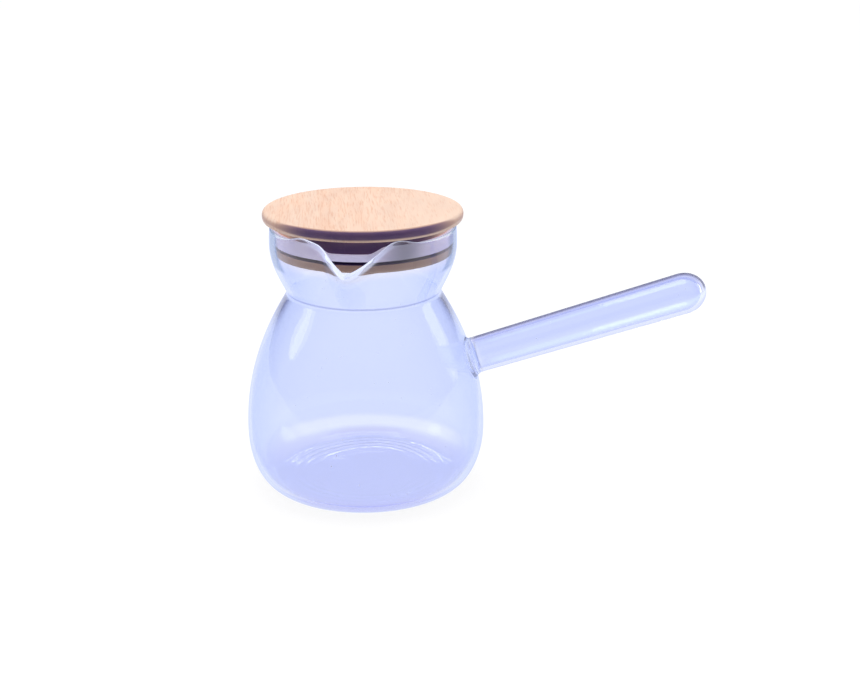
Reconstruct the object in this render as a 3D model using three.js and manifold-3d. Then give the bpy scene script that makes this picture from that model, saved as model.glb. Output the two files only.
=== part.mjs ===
// Glass pot with a side handle.
// A blown body with a pinched waist and a pulled pouring lip, a hollow handle welded to its side,
// and a turned wooden lid whose plug carries a soft seal.
// Millimetres, +Z up. The handle points along +X and the pouring lip along -Y.
// The origin is the centre of the flat foot.

import * as THREE from 'three';
import { mergeVertices } from 'three/addons/utils/BufferGeometryUtils.js';
import loadManifold from 'manifold-3d';

// Glass body: outer radii, from the foot up, and the heights where they lie
const FOOT_R = 40.5;
const BELLY_R = 54;
const BELLY_Z = 26;
const WAIST_R = 34.2;
const WAIST_Z = 90;
const COLLAR_R = 41.5;
const COLLAR_HEIGHT = 29;
const COLLAR_DROP = 7;
const RIM_R = 41.2;
const WALL = 1.7;
const FLOOR = 2.6;

// Pouring lip: a V pressed into the rim, with a raised shoulder on each side of it.
// Widths and offsets run along the rim.
const LIP_WIDTH = 27;
const LIP_DIP = 11.6;
const LIP_PULL = 4.2;
const LIP_TIP_ROUND = 1.6;
const LIP_EDGE_SOFTNESS = 0.12;
const SHOULDER_LIFT = 2.2;
const SHOULDER_OFFSET = 21.5;
const SHOULDER_WIDTH = 7.5;

// The waist and the collar lean a little towards the pouring lip, and the lean fades down the body.
const LEAN = 1;
const LEAN_WIDTH = 32;
const LEAN_FADE = 30;

// Handle: a hollow tube, slightly flared, closed by a shallow dome
const HANDLE_DROP = 28.4;
const HANDLE_TILT = THREE.MathUtils.degToRad(19.7);
const HANDLE_LENGTH = 109;
const HANDLE_ROOT_R = 8.15;
const HANDLE_END_R = 9;
const HANDLE_DOME = 6.5;
const HANDLE_WALL = 1.5;

// Weld bead around the handle's root
const WELD_REACH = 2.6;
const WELD_SPREAD = 1.9;
const WELD_EDGE = 0.5;

// Lid: flange, plug and the groove for the seal
const FLANGE_OVERHANG = 3.1;
const FLANGE_THICK = 5.1;
const FLANGE_TOP_ROUND = 1.6;
const FLANGE_UNDER_ROUND = 3.2;
const PLUG_DEPTH = 14;
const PLUG_EDGE = 0.8;
const PLUG_LIP = 3.6;
const GROOVE_DEPTH = 2.8;

// Seal: a foot held in the groove and a thin fin that stands up against the glass.
// Over the pouring lip nothing presses the fin, so its tip eases out and down.
const SEAL_FOOT = 1.9;
const SEAL_FIN = 0.9;
const SEAL_TIP_GAP = 2.8;
const SEAL_EASE_WIDTH = 34;
const SEAL_EASE_RUN = 9;
const SEAL_EASE_DROP = 2.8;
const SEAL_EASE_OUT = 1.1;

// Fits
const WELD_GAP = 0.3;
const SEAT_GAP = 0.3;
const SEAL_CLEARANCE = 0.3;
const GROOVE_CLEARANCE = 0.25;
const PLUG_CLEARANCE = 0.9;

// Facets
const FINE_STEP = THREE.MathUtils.degToRad(4);
const COARSE_STEP = THREE.MathUtils.degToRad(9);
const FINE_REACH = THREE.MathUtils.degToRad(44);
const LID_SEGMENTS = 52;
const HANDLE_SEGMENTS = 26;
const CUTTER_SEGMENTS = 120;

const LIP_DIRECTION = -Math.PI / 2;
const QUARTER = Math.PI / 2;

// Heights that follow from the sizes above
const RIM_Z = WAIST_Z + COLLAR_HEIGHT;
const COLLAR_Z = RIM_Z - COLLAR_DROP;
const HANDLE_ROOT_Z = WAIST_Z - HANDLE_DROP;
const HANDLE_STRAIGHT = HANDLE_LENGTH - HANDLE_DOME;

const { smoothstep } = THREE.MathUtils;

// Rounded versions of |x| and max(0, x)
const softAbs = (x, round) => Math.hypot(x, round) - round;
const softRamp = (x, round) => (x + Math.hypot(x, round)) / 2;

// count + 1 values from a to b
const spread = (a, b, count) => Array.from({ length: count + 1 }, (_, i) => a + (b - a) * i / count);

// Distance along the rim from the middle of the pouring lip
function rimArc(angle) {
  const turn = angle - LIP_DIRECTION;
  return RIM_R * Math.atan2(Math.sin(turn), Math.cos(turn));
}

// How far a place is inside a V of some width: 1 at its middle, 0 outside it
function lipShare(arc, width) {
  return softRamp(1 - softAbs(arc, LIP_TIP_ROUND) / (width / 2), LIP_EDGE_SOFTNESS);
}

function rimHeight(angle) {
  const arc = Math.abs(rimArc(angle));
  const shoulder = Math.exp(-(((arc - SHOULDER_OFFSET) / SHOULDER_WIDTH) ** 2));
  return RIM_Z + SHOULDER_LIFT * shoulder - LIP_DIP * lipShare(arc, LIP_WIDTH);
}

// The shoulder is part of an ellipse that leaves the belly upright and passes through the waist.
function shoulderRadius(z) {
  const reach = (WAIST_Z - BELLY_Z) / Math.sqrt(1 - (WAIST_R / BELLY_R) ** 2);
  return BELLY_R * Math.sqrt(1 - ((z - BELLY_Z) / reach) ** 2);
}

// The collar is a quarter sine wave from the waist out to its widest ring, then closes in to the rim.
function collarRadius(z) {
  const rise = (z - WAIST_Z) / (COLLAR_Z - WAIST_Z);
  if (rise <= 1) return WAIST_R + (COLLAR_R - WAIST_R) * Math.sin(QUARTER * rise);
  return COLLAR_R + (RIM_R - COLLAR_R) * ((z - COLLAR_Z) / COLLAR_DROP) ** 2;
}

// Outward pull towards the pouring lip: a broad lean, and a beak that widens from the waist to the rim
function lipPull(angle, z) {
  const arc = rimArc(angle);
  const lean = LEAN * Math.exp(-((arc / LEAN_WIDTH) ** 2)) * smoothstep(z, WAIST_Z - LEAN_FADE, WAIST_Z);
  const share = (z - WAIST_Z) / (rimHeight(angle) - WAIST_Z);
  if (share <= 0) return lean;
  return lean + LIP_PULL * share * lipShare(arc, LIP_WIDTH * share);
}

// Foot to belly is a quarter ellipse, whose wall thins from the floor's thickness.
const FOOT_TO_BELLY = spread(0, QUARTER, 7).map((t) => ({
  r: FOOT_R + (BELLY_R - FOOT_R) * Math.sin(t),
  z: BELLY_Z * (1 - Math.cos(t)),
  wall: FLOOR + (WALL - FLOOR) * Math.sin(t),
}));
const BELLY_TO_WAIST = spread(BELLY_Z, WAIST_Z, 9).slice(1).map((z) => ({
  r: shoulderRadius(z), z, wall: WALL,
}));

// The outer profile at one angle, from the foot's edge to the rim
function outerProfile(angle) {
  const collar = spread(WAIST_Z, rimHeight(angle), 9).slice(1).map((z) => ({
    r: collarRadius(z), z, wall: WALL,
  }));
  return [...FOOT_TO_BELLY, ...BELLY_TO_WAIST, ...collar].map(({ r, z, wall }) => ({
    r: r + lipPull(angle, z), z, wall,
  }));
}

// A profile moved along its own normal by a distance that may change from point to point.
// Its first point lies on the foot's edge, where the normal points straight down.
function offsetProfile(profile, distance) {
  return profile.map((point, i) => {
    const before = profile[Math.max(i - 1, 0)];
    const after = profile[Math.min(i + 1, profile.length - 1)];
    const length = Math.hypot(after.r - before.r, after.z - before.z);
    const normal = i === 0 ? [0, -1] : [(after.z - before.z) / length, (before.r - after.r) / length];
    const by = distance(point);
    return { r: point.r + by * normal[0], z: point.z + by * normal[1] };
  });
}

// A closed skin over rings of points. A ring of one point is a pole, and a loop joins last to first.
function skin(rings, loop = false) {
  const around = Math.max(...rings.map((ring) => ring.length));
  const starts = [];
  const positions = [];
  for (const ring of rings) {
    starts.push(positions.length / 3);
    ring.forEach((point) => positions.push(...point));
  }
  const at = (i, j) => starts[i] + (rings[i].length === 1 ? 0 : j % around);
  const index = [];
  for (let i = 0; i < rings.length - (loop ? 0 : 1); i++) {
    const next = (i + 1) % rings.length;
    for (let j = 0; j < around; j++) {
      if (rings[i].length > 1) index.push(at(i, j), at(i, j + 1), at(next, j + 1));
      if (rings[next].length > 1) index.push(at(i, j), at(next, j + 1), at(next, j));
    }
  }
  const geometry = new THREE.BufferGeometry();
  geometry.setAttribute('position', new THREE.Float32BufferAttribute(positions, 3));
  geometry.setIndex(index);
  return geometry;
}

// A profile of [radius, height] points turned about +Z
function turned(profile, segments) {
  const points = profile.map(([r, h]) => new THREE.Vector2(r, h));
  return new THREE.LatheGeometry(points, segments).rotateX(QUARTER);
}

const wasm = await loadManifold();
wasm.setup();

function toSolid(geometry) {
  const bare = geometry.clone();
  bare.deleteAttribute('normal');
  bare.deleteAttribute('uv');
  const merged = mergeVertices(bare);
  const corners = merged.index.array;
  const triangles = [];
  for (let i = 0; i < corners.length; i += 3) {
    const [a, b, c] = corners.slice(i, i + 3);
    if (a !== b && b !== c && c !== a) triangles.push(a, b, c);
  }
  return new wasm.Manifold(new wasm.Mesh({
    numProp: 3,
    vertProperties: new Float32Array(merged.attributes.position.array),
    triVerts: new Uint32Array(triangles),
  }));
}

function toGeometry(solid) {
  const mesh = solid.getMesh();
  const geometry = new THREE.BufferGeometry();
  geometry.setAttribute('position', new THREE.BufferAttribute(new Float32Array(mesh.vertProperties), 3));
  geometry.setIndex(new THREE.BufferAttribute(new Uint32Array(mesh.triVerts), 1));
  return geometry;
}

// Angles around the pot, close together over the pouring lip
function potAngles() {
  const fine = Math.round(2 * FINE_REACH / FINE_STEP);
  const coarse = Math.round((2 * Math.PI - 2 * FINE_REACH) / COARSE_STEP);
  return [
    ...spread(-FINE_REACH, FINE_REACH, fine),
    ...spread(FINE_REACH, 2 * Math.PI - FINE_REACH, coarse).slice(1, -1),
  ].map((turn) => LIP_DIRECTION + turn);
}

const polar = (angle, { r, z }) => [r * Math.cos(angle), r * Math.sin(angle), z];

// Rings about +Z through one profile at each angle
function ringsOf(angles, profiles) {
  return profiles[0].map((_, i) => angles.map((angle, j) => polar(angle, profiles[j][i])));
}

function glassBody() {
  const angles = potAngles();
  const profiles = angles.map((angle) => {
    const outer = outerProfile(angle);
    const inner = offsetProfile(outer, ({ wall }) => -wall);
    const rimOut = outer.at(-1);
    const rimIn = inner.at(-1);
    // The fire-polished rim is half a circle across the wall.
    const bead = spread(0, Math.PI, 4).slice(1, -1).map((t) => ({
      r: (rimOut.r + rimIn.r) / 2 + (rimOut.r - rimIn.r) / 2 * Math.cos(t),
      z: (rimOut.z + rimIn.z) / 2 + WALL / 2 * Math.sin(t),
    }));
    return [...outer, ...bead, ...inner.reverse()];
  });
  return skin([[[0, 0, 0]], ...ringsOf(angles, profiles), [[0, 0, FLOOR]]]);
}

// The body's round outer shape grown by a gap: what the handle and its bead are cut to
function bodyCutter(gap) {
  const grown = offsetProfile([...FOOT_TO_BELLY, ...BELLY_TO_WAIST], () => gap);
  return turned([[0, -gap], ...grown.map(({ r, z }) => [r, z]), [0, WAIST_Z]], CUTTER_SEGMENTS);
}

// Lays a shape turned about +Z along the handle, with height 0 where the handle meets the body
function ontoHandle(geometry) {
  geometry.rotateY(QUARTER - HANDLE_TILT);
  return geometry.translate(shoulderRadius(HANDLE_ROOT_Z), 0, HANDLE_ROOT_Z);
}

// How far the root reaches past the body's surface before it is cut to it
const ROOT_SINK = 2 * HANDLE_ROOT_R;

function handleTube() {
  const shell = (inset) => [
    [HANDLE_ROOT_R - inset, -ROOT_SINK],
    [HANDLE_ROOT_R - inset, 0],
    ...spread(0, QUARTER, 6).map((t) => [
      (HANDLE_END_R - inset) * Math.cos(t), HANDLE_STRAIGHT + (HANDLE_DOME - inset) * Math.sin(t),
    ]),
  ];
  const tube = ontoHandle(turned([...shell(HANDLE_WALL).reverse(), ...shell(0)], HANDLE_SEGMENTS));
  return toGeometry(toSolid(tube).subtract(toSolid(bodyCutter(WELD_GAP))));
}

// A hollow fillet that spreads from the tube onto the body
function handleWeld() {
  const flare = (HANDLE_END_R - HANDLE_ROOT_R) / HANDLE_STRAIGHT;
  const bore = HANDLE_ROOT_R + flare * WELD_REACH + WELD_GAP;
  const fillet = spread(0, QUARTER, 4).map((t) => [
    bore + WELD_EDGE + WELD_SPREAD * (1 - Math.sin(t)), WELD_REACH * (1 - Math.cos(t)),
  ]);
  const bead = ontoHandle(turned([
    [bore, -ROOT_SINK],
    [bore + WELD_EDGE + WELD_SPREAD, -ROOT_SINK],
    ...fillet,
    [bore, WELD_REACH],
    [bore, -ROOT_SINK],
  ], HANDLE_SEGMENTS));
  return toGeometry(toSolid(bead).subtract(toSolid(bodyCutter(WELD_GAP))));
}

// Heights of the lid, whose flange sits over the rim's raised shoulders
const FLANGE_UNDER = RIM_Z + SHOULDER_LIFT + WALL / 2 + SEAT_GAP;
const PLUG_BOTTOM = FLANGE_UNDER - PLUG_DEPTH;
const GROOVE_BOTTOM = PLUG_BOTTOM + PLUG_LIP;
const SEAL_BOTTOM = GROOVE_BOTTOM + GROOVE_CLEARANCE;
const SEAL_TOP = FLANGE_UNDER - SEAL_TIP_GAP;

// Radii of the lid: its flange covers the widest glass of the mouth, and the rest passes the narrowest.
const FLANGE_R = Math.max(RIM_R, COLLAR_R) + FLANGE_OVERHANG;
const MOUTH_R = Math.min(RIM_R, COLLAR_R) - WALL;
const SEAL_R = MOUTH_R - SEAL_CLEARANCE;
const STEM_R = SEAL_R - SEAL_FIN - GROOVE_CLEARANCE;
const GROOVE_R = STEM_R - GROOVE_DEPTH;
const PLUG_R = Math.min(MOUTH_R, collarRadius(PLUG_BOTTOM) - WALL) - PLUG_CLEARANCE;

function lidWood() {
  const top = FLANGE_UNDER + FLANGE_THICK;
  const grooveTop = SEAL_BOTTOM + SEAL_FOOT + GROOVE_CLEARANCE;
  const underRound = spread(0, QUARTER, 4).map((t) => [
    FLANGE_R - FLANGE_UNDER_ROUND * (1 - Math.sin(t)), FLANGE_UNDER + FLANGE_UNDER_ROUND * (1 - Math.cos(t)),
  ]);
  const topRound = spread(0, QUARTER, 3).map((t) => [
    FLANGE_R - FLANGE_TOP_ROUND * (1 - Math.cos(t)), top - FLANGE_TOP_ROUND * (1 - Math.sin(t)),
  ]);
  return turned([
    [0, PLUG_BOTTOM],
    [PLUG_R - PLUG_EDGE, PLUG_BOTTOM],
    [PLUG_R, PLUG_BOTTOM + PLUG_EDGE],
    [PLUG_R, GROOVE_BOTTOM],
    [GROOVE_R, GROOVE_BOTTOM],
    [GROOVE_R, grooveTop],
    [STEM_R, grooveTop],
    [STEM_R, FLANGE_UNDER],
    ...underRound,
    ...topRound,
    [0, top],
  ], LID_SEGMENTS);
}

// The seal's section at one angle
function sealSection(angle) {
  const half = SEAL_EASE_WIDTH / 2;
  const free = 1 - smoothstep(Math.abs(rimArc(angle)), half - SEAL_EASE_RUN, half);
  const tipR = SEAL_R + SEAL_EASE_OUT * free;
  const tipZ = SEAL_TOP - SEAL_EASE_DROP * free;
  const footR = GROOVE_R + GROOVE_CLEARANCE;
  return [
    { r: footR, z: SEAL_BOTTOM },
    { r: SEAL_R - SEAL_FIN / 2, z: SEAL_BOTTOM },
    { r: SEAL_R, z: SEAL_BOTTOM + SEAL_FIN / 2 },
    { r: tipR, z: tipZ - SEAL_FIN / 2 },
    { r: tipR - SEAL_FIN / 2, z: tipZ },
    { r: tipR - SEAL_FIN, z: tipZ - SEAL_FIN / 2 },
    { r: SEAL_R - SEAL_FIN, z: SEAL_BOTTOM + SEAL_FOOT },
    { r: footR, z: SEAL_BOTTOM + SEAL_FOOT },
  ];
}

function lidSeal() {
  const angles = potAngles();
  return skin(ringsOf(angles, angles.map(sealSection)), true);
}

function piece(name, geometry, color, roughness, opacity = 1) {
  const material = new THREE.MeshStandardMaterial({
    color, roughness, metalness: 0, opacity, transparent: opacity < 1,
  });
  const mesh = new THREE.Mesh(geometry, material);
  mesh.name = name;
  return mesh;
}

const GLASS_TINT = 0xd1dbff;
const GLASS_GLOSS = 0.03;
const GLASS_OPACITY = 0.35;

const pot = new THREE.Group();
pot.add(
  piece('glass_body', glassBody(), GLASS_TINT, GLASS_GLOSS, GLASS_OPACITY),
  piece('handle_tube', handleTube(), GLASS_TINT, GLASS_GLOSS, GLASS_OPACITY),
  piece('handle_weld', handleWeld(), GLASS_TINT, GLASS_GLOSS, GLASS_OPACITY),
);

const lid = new THREE.Group();
lid.add(
  piece('lid_wood', lidWood(), 0xe8c4a2, 0.55),
  piece('lid_seal', lidSeal(), 0xd9d6e6, 0.4),
);

const glassPot = new THREE.Group();
glassPot.add(pot, lid);

export default glassPot;
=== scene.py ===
"""Glass pot with a side handle: the smooth pieces, their finishes and the stage, as a Blender add-on.

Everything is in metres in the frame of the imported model: +Z up, the handle along +X, the pouring lip
towards -Y, the origin at the centre of the flat foot.
"""

import math

import bpy
import numpy as np
from bpy.props import FloatProperty, FloatVectorProperty, IntProperty, PointerProperty
from bpy.types import NodeSocket, Operator, Panel, PropertyGroup
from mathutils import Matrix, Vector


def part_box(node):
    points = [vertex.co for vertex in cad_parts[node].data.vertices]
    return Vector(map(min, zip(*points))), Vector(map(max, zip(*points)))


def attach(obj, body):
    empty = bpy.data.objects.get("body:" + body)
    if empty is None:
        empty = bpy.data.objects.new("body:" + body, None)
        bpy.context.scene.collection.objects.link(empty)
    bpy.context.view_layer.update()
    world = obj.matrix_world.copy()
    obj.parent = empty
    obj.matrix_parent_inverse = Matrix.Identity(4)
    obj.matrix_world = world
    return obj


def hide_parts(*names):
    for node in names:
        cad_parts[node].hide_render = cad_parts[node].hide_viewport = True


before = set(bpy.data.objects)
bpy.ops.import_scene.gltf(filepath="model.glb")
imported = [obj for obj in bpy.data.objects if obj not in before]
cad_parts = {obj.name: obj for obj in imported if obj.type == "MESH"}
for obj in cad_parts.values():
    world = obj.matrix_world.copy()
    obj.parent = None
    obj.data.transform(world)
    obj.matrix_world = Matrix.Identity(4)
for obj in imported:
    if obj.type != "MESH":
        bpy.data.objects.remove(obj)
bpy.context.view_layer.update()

bl_info = {
    "name": "Glass pot",
    "version": (1, 0, 0),
    "blender": (4, 5, 0),
    "location": "View3D > Sidebar > Glass pot",
    "description": "Glass pot with a side handle and a wooden lid, dressed over its packed frame",
    "category": "Add Mesh",
}

MM = 0.001
TURN = 2 * math.pi
LIP_DIRECTION = -math.pi / 2

# Points around each piece
BODY_POINTS = 270
HANDLE_POINTS = 96
LID_POINTS = 192
SEAL_POINTS = 240

# Rings along each stretch of the body
FOOT_RINGS = 14
BELLY_RINGS = 30
SHOULDER_RINGS = 53
COLLAR_RINGS = 55
RIM_RINGS = 12
FLOOR_RINGS = 72

# Rings along each stretch of the handle
BORE_RINGS = 40
TUBE_RINGS = 76
DOME_RINGS = 20
SEAT_RINGS = 8
WELD_RINGS = 14

# Points along each rounded corner of the lid, and along the seal's heel and fin
CORNER_POINTS = 9
HEEL_POINTS = 5
FIN_POINTS = 9

# Waves of the blown wall: number around, slope, height, start, and share of the phase
WAVES = ((3, 2.1, 1.0, 0.0, 1.0), (5, -3.3, 0.7, 2.0, 1.7), (8, 5.1, 0.5, 4.0, 0.6))

# How often an interval is halved to find where the handle meets the body
HALVINGS = 40

# The bounce at which light counts as caught in the glass, which then turns black and shows a painted glow
CAUGHT = 14

# Lowest and highest place of the painted dark line, painted shade on edges that face up, and where along
# the edge it starts and is full
BODY_LINE = (72 * MM, 96 * MM, 0.52, 0.74)
TUBE_LINE = (40 * MM, 200 * MM, 0.42, 0.6)

# Angles from the handle's top where each painted highlight band starts, is full, fades and ends
WIDE_STREAK = (1.64, 1.82, 2.04, 2.16)
THIN_STREAK = (0.60, 0.67, 0.72, 0.79)

# Each seam of the weld: strength, distance from the body, width, and the angles where it starts and is full
NEAR_SEAM = (1.0, 0.8 * MM, 0.3 * MM, 0.7, 1.5)
FAR_SEAM = (0.8, 4.4 * MM, 0.35 * MM, 0.3, 0.7)

# Angles where both seams fade and end
SEAMS_FADE = (2.1, 2.6)

# The point that the lamps face, and how far from it they stand around the pot
LAMPS_MIDDLE = (0.0, 0.0, 0.07)
LAMPS_DISTANCE = 0.7

GLASS_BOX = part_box("glass_body")
LID_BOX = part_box("lid_wood")
SEAL_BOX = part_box("lid_seal")


# Settings that a user would change

def length(name, default, description):
    """A length in metres."""
    return FloatProperty(
        name=name, description=description, default=default, min=0.0,
        subtype="DISTANCE", unit="LENGTH", precision=5,
    )


def colour(name, default, description):
    """A colour in linear numbers."""
    return FloatVectorProperty(
        name=name, description=description, default=(*default, 1.0), size=4,
        min=0.0, max=1.0, subtype="COLOR",
    )


def degrees(name, default, description):
    """An angle, given in degrees and kept in radians."""
    return FloatProperty(
        name=name, description=description, default=math.radians(default),
        subtype="ANGLE", unit="ROTATION",
    )


def watts(name, default, description):
    """The power of a lamp."""
    return FloatProperty(name=name, description=description, default=default, min=0.0, unit="POWER")


def fraction(name, default, description):
    """A number from 0 to 1."""
    return FloatProperty(
        name=name, description=description, default=default, min=0.0, max=1.0, subtype="FACTOR",
    )


class GlassSizes(PropertyGroup):
    """Sizes of the blown body"""
    foot_radius: length("Foot radius", 40.5 * MM, "Radius of the flat foot")
    belly_radius: length("Belly radius", GLASS_BOX[1].y, "Widest radius of the body")
    belly_height: length("Belly height", 26 * MM, "Height of the widest ring")
    shoulder_flat: length("Shoulder flattening", 0.85 * MM, "How much the shoulder is flattened")
    waist_radius: length("Waist radius", 33.8 * MM, "Radius of the pinched waist")
    waist_height: length("Waist height", 90 * MM, "Height of the waist")
    waist_round: length("Waist rounding", 1.5 * MM, "How softly shoulder and collar meet in the waist")
    collar_radius: length("Collar radius", 41.5 * MM, "Widest radius of the collar")
    collar_height: length("Collar height", 112 * MM, "Height of the collar's widest ring")
    rim_radius: length("Rim radius", 41.2 * MM, "Radius of the rim")
    rim_height: length("Rim height", 119 * MM, "Height of the rim away from the lip")
    wall: length("Wall", 1.7 * MM, "Thickness of the wall")
    floor: length("Floor", 2.6 * MM, "Thickness of the floor")
    lip_width: length("Lip width", 27 * MM, "Width of the V along the rim")
    lip_skew: fraction("Lip skew", 0.16, "How much wider the V is on the handle's side than its mean")
    lip_dip: length("Lip dip", 10.4 * MM, "Depth of the V")
    lip_round: length("Lip rounding", 1.6 * MM, "Rounding of the V's point")
    lip_bead: length("Lip bead", 0.8 * MM, "How much thicker the melted edge of the lip is")
    beak_pull: length("Beak pull", 7.5 * MM, "How far the beak stands out at the rim")
    beak_width: length("Beak width", 18 * MM, "Width of the beak along the rim")
    beak_round: length("Beak rounding", 2.6 * MM, "Rounding of the beak's keel")
    shoulder_lift: length("Shoulder lift", 2.2 * MM, "Rise of the rim on each side of the lip")
    shoulder_offset: length("Shoulder offset", 21.5 * MM, "Distance of each rise from the lip")
    shoulder_width: length("Shoulder width", 7.5 * MM, "Width of each rise")
    lean: length("Lean", 1 * MM, "How far the neck leans towards the lip")
    lean_width: length("Lean width", 32 * MM, "Width of the lean around the neck")
    lean_fade: length("Lean fade", 30 * MM, "How far down the body the lean fades out")
    wobble: length("Wobble", 0.06 * MM, "Unevenness of the hand-blown wall")
    ripple: length("Floor ripple", 0.045 * MM, "Height of the rings left in the floor")


class HandleSizes(PropertyGroup):
    """Sizes of the hollow handle"""
    root_height: length("Root height", 60.3 * MM, "Height where the handle meets the body")
    tilt: degrees("Tilt", 19.23, "Rise of the handle above level")
    reach: length("Length", 107.9 * MM, "Length from the body to the tip")
    root_radius: length("Root radius", 8.15 * MM, "Radius at the body")
    end_radius: length("End radius", 9 * MM, "Radius where the dome starts")
    dome: length("Dome", 10.3 * MM, "Length of the domed end")
    wall: length("Wall", 1.6 * MM, "Thickness of the tube's wall")
    tip_wall: length("Tip wall", 2.2 * MM, "Thickness of the glass at the tip")
    bore_dome: length("Bore dome", 8.4 * MM, "Length over which the bore closes")
    weld_reach: length("Weld reach", 2.8 * MM, "How far the weld runs up the tube")
    weld_spread: length("Weld spread", 2.6 * MM, "How far the weld spreads over the body")
    bore_round: length("Bore rounding", 2.4 * MM, "Fillet where the bore meets the body")
    seat: length("Seat", 0.15 * MM, "How far the weld is fused into the body")


class LidSizes(PropertyGroup):
    """Sizes of the turned lid"""
    flange_radius: length("Flange radius", LID_BOX[1].x - 0.4 * MM, "Radius of the flange")
    flange_under: length("Flange underside", 122.35 * MM, "Height of the flange's underside")
    top: length("Top", LID_BOX[1].z, "Height of the lid's top")
    top_round: length("Top rounding", 2.4 * MM, "Rounding of the upper edge")
    under_round: length("Under rounding", 2.6 * MM, "Rounding of the lower edge")
    plug_radius: length("Plug radius", 39.0 * MM, "Radius of the lip under the groove")
    plug_bottom: length("Plug bottom", LID_BOX[0].z, "Height of the plug's underside")
    plug_lip: length("Plug lip", 3.6 * MM, "Height of the lip under the groove")
    plug_edge: length("Plug edge", 0.8 * MM, "Rounding of the plug's lower edge")
    groove_radius: length("Groove radius", 35.25 * MM, "Radius at the bottom of the groove")
    groove_top: length("Groove top", 114.35 * MM, "Height of the groove's upper wall")
    stem_radius: length("Stem radius", 38.05 * MM, "Radius of the plug above the groove")
    corner: length("Corner", 0.25 * MM, "Rounding of the turned corners")
    grain: degrees("Grain", 11, "Turn of the wood's grain from +Y")


class SealSizes(PropertyGroup):
    """Sizes of the soft seal"""
    radius: length("Radius", 39.2 * MM, "Outer radius of the fin")
    foot_radius: length("Foot radius", 35.5 * MM, "Inner radius of the foot in the groove")
    bottom: length("Bottom", SEAL_BOX[0].z, "Height of the seal's underside")
    top: length("Top", SEAL_BOX[1].z, "Height of the fin's tip")
    foot: length("Foot", 1.9 * MM, "Thickness of the foot")
    fin: length("Fin", 0.9 * MM, "Thickness of the fin")
    heel: length("Heel", 0.9 * MM, "How far the fin's heel stays above the plug")
    ease_width: length("Ease width", 34 * MM, "Width of the part that nothing presses, over the lip")
    ease_run: length("Ease run", 9 * MM, "How gently that part starts and ends")
    ease_drop: length("Ease drop", 2.8 * MM, "How far the tip drops there")
    ease_out: length("Ease out", 1.1 * MM, "How far the tip stands out there")


class Finishes(PropertyGroup):
    """Colours of the finishes"""
    glass: colour("Glass", (0.81, 0.855, 1.0), "Cast of the clear glass, through one wall")
    glass_foot: colour("Glass foot", (0.76, 0.775, 1.0), "Cast of the thicker glass at the foot")
    # Painted shade: a darker cast on the foot's rounded edge on the near side, for camera rays only
    sole_shade: colour("Glass sole", (0.40, 0.42, 1.0), "Cast of the rounded edge of the foot, in front")
    # Painted highlight: a lighter ring above the foot on the far side, standing in for a lamp's glint on the
    # heel
    heel_highlight: colour("Glass heel", (0.95, 0.97, 1.0), "Cast of the clearer ring above the foot, behind")
    glass_mouth: colour("Glass mouth", (0.92, 0.90, 0.94), "Cast of the glass around the lid")
    mouth_shade: colour("Mouth shade", (0.22, 0.30, 0.50), "Shade along the wall around the lid")
    glass_edge: colour("Glass edge", (0.50, 0.60, 1.0), "Cast of the glass seen along the wall")
    # Painted glow in place of light caught in the wall, for the body and the weld
    glass_deep_glow: colour("Glass deep", (0.85, 0.90, 1.0), "Cast of light that is caught in the wall")
    # Painted shade: a dark line along edges that face up; the same colour draws the weld's seams
    shade_and_seam_line: colour("Glass line", (0.12, 0.12, 0.20), "Dark line on the glass's upper edges")
    # Painted shade: the crease in the waist is darkened, for camera rays only
    crease: colour("Crease", (0.30, 0.33, 0.62), "Cast of the crease in the waist")
    # Painted glow: the lip's melted edge is dimmed by the lip cast and glows for the camera, in place of
    # light piped along the wall
    lip_cast: colour("Lip cast", (0.36, 0.38, 0.50), "Cast of the melted edge of the lip")
    lip_painted_glow: colour("Lip glow", (0.40, 0.43, 0.56), "Light that the melted edge of the lip gathers")
    tube: colour("Tube", (0.77, 0.815, 1.0), "Cast of the handle's glass, through one wall")
    # Painted glow in place of light caught in the handle
    tube_deep_glow: colour("Tube deep", (0.34, 0.36, 0.48), "Cast of light that is caught in the handle")
    tube_edge: colour("Tube edge", (0.50, 0.56, 0.96), "Cast of the handle's glass seen along the wall")
    # Painted highlight: two lighter bands along the handle, standing in for reflections of the lamps
    highlight_streak: colour("Streak", (0.85, 0.935, 1.0), "Cast of the clear streaks along the handle")
    weld: colour("Weld", (0.93, 0.95, 1.0), "Cast of the fused end of the handle")
    wood_pale: colour("Pale wood", (1.0, 0.755, 0.575), "Pale wood between the pores")
    wood_warm: colour("Warm wood", (1.0, 0.675, 0.48), "Warmer wood in the grain")
    wood_pore: colour("Pores", (0.86, 0.47, 0.28), "Open pores and flecks")
    # Painted shade: a brown tone on the flange's side and the plug's lip, fading along the grain towards the
    # sides
    wood_side_shade: colour("Side", (0.74, 0.46, 0.33), "Wood of the turned edge along the grain")
    # Painted shade: the dark band on the flange's side and on the stem, strongest across the grain
    wood_edge_shade: colour("Edge", (0.14, 0.075, 0.19), "Darker wood of the turned edge across the grain")
    # Painted shade: the seal's foot deep in the plug's groove is darkened
    groove: colour("Groove", (0.05, 0.035, 0.12), "Silicone deep in the plug's groove")
    # Also the colour of the seal's painted glow
    silicone: colour("Silicone", (0.82, 0.78, 1.0), "Milky silicone")
    # Painted shade: darker silicone beside the lip, strongest on the handle's side
    silicone_shade: colour("Clear silicone", (0.35, 0.35, 0.44), "Thinner silicone, where the plug shows")


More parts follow.
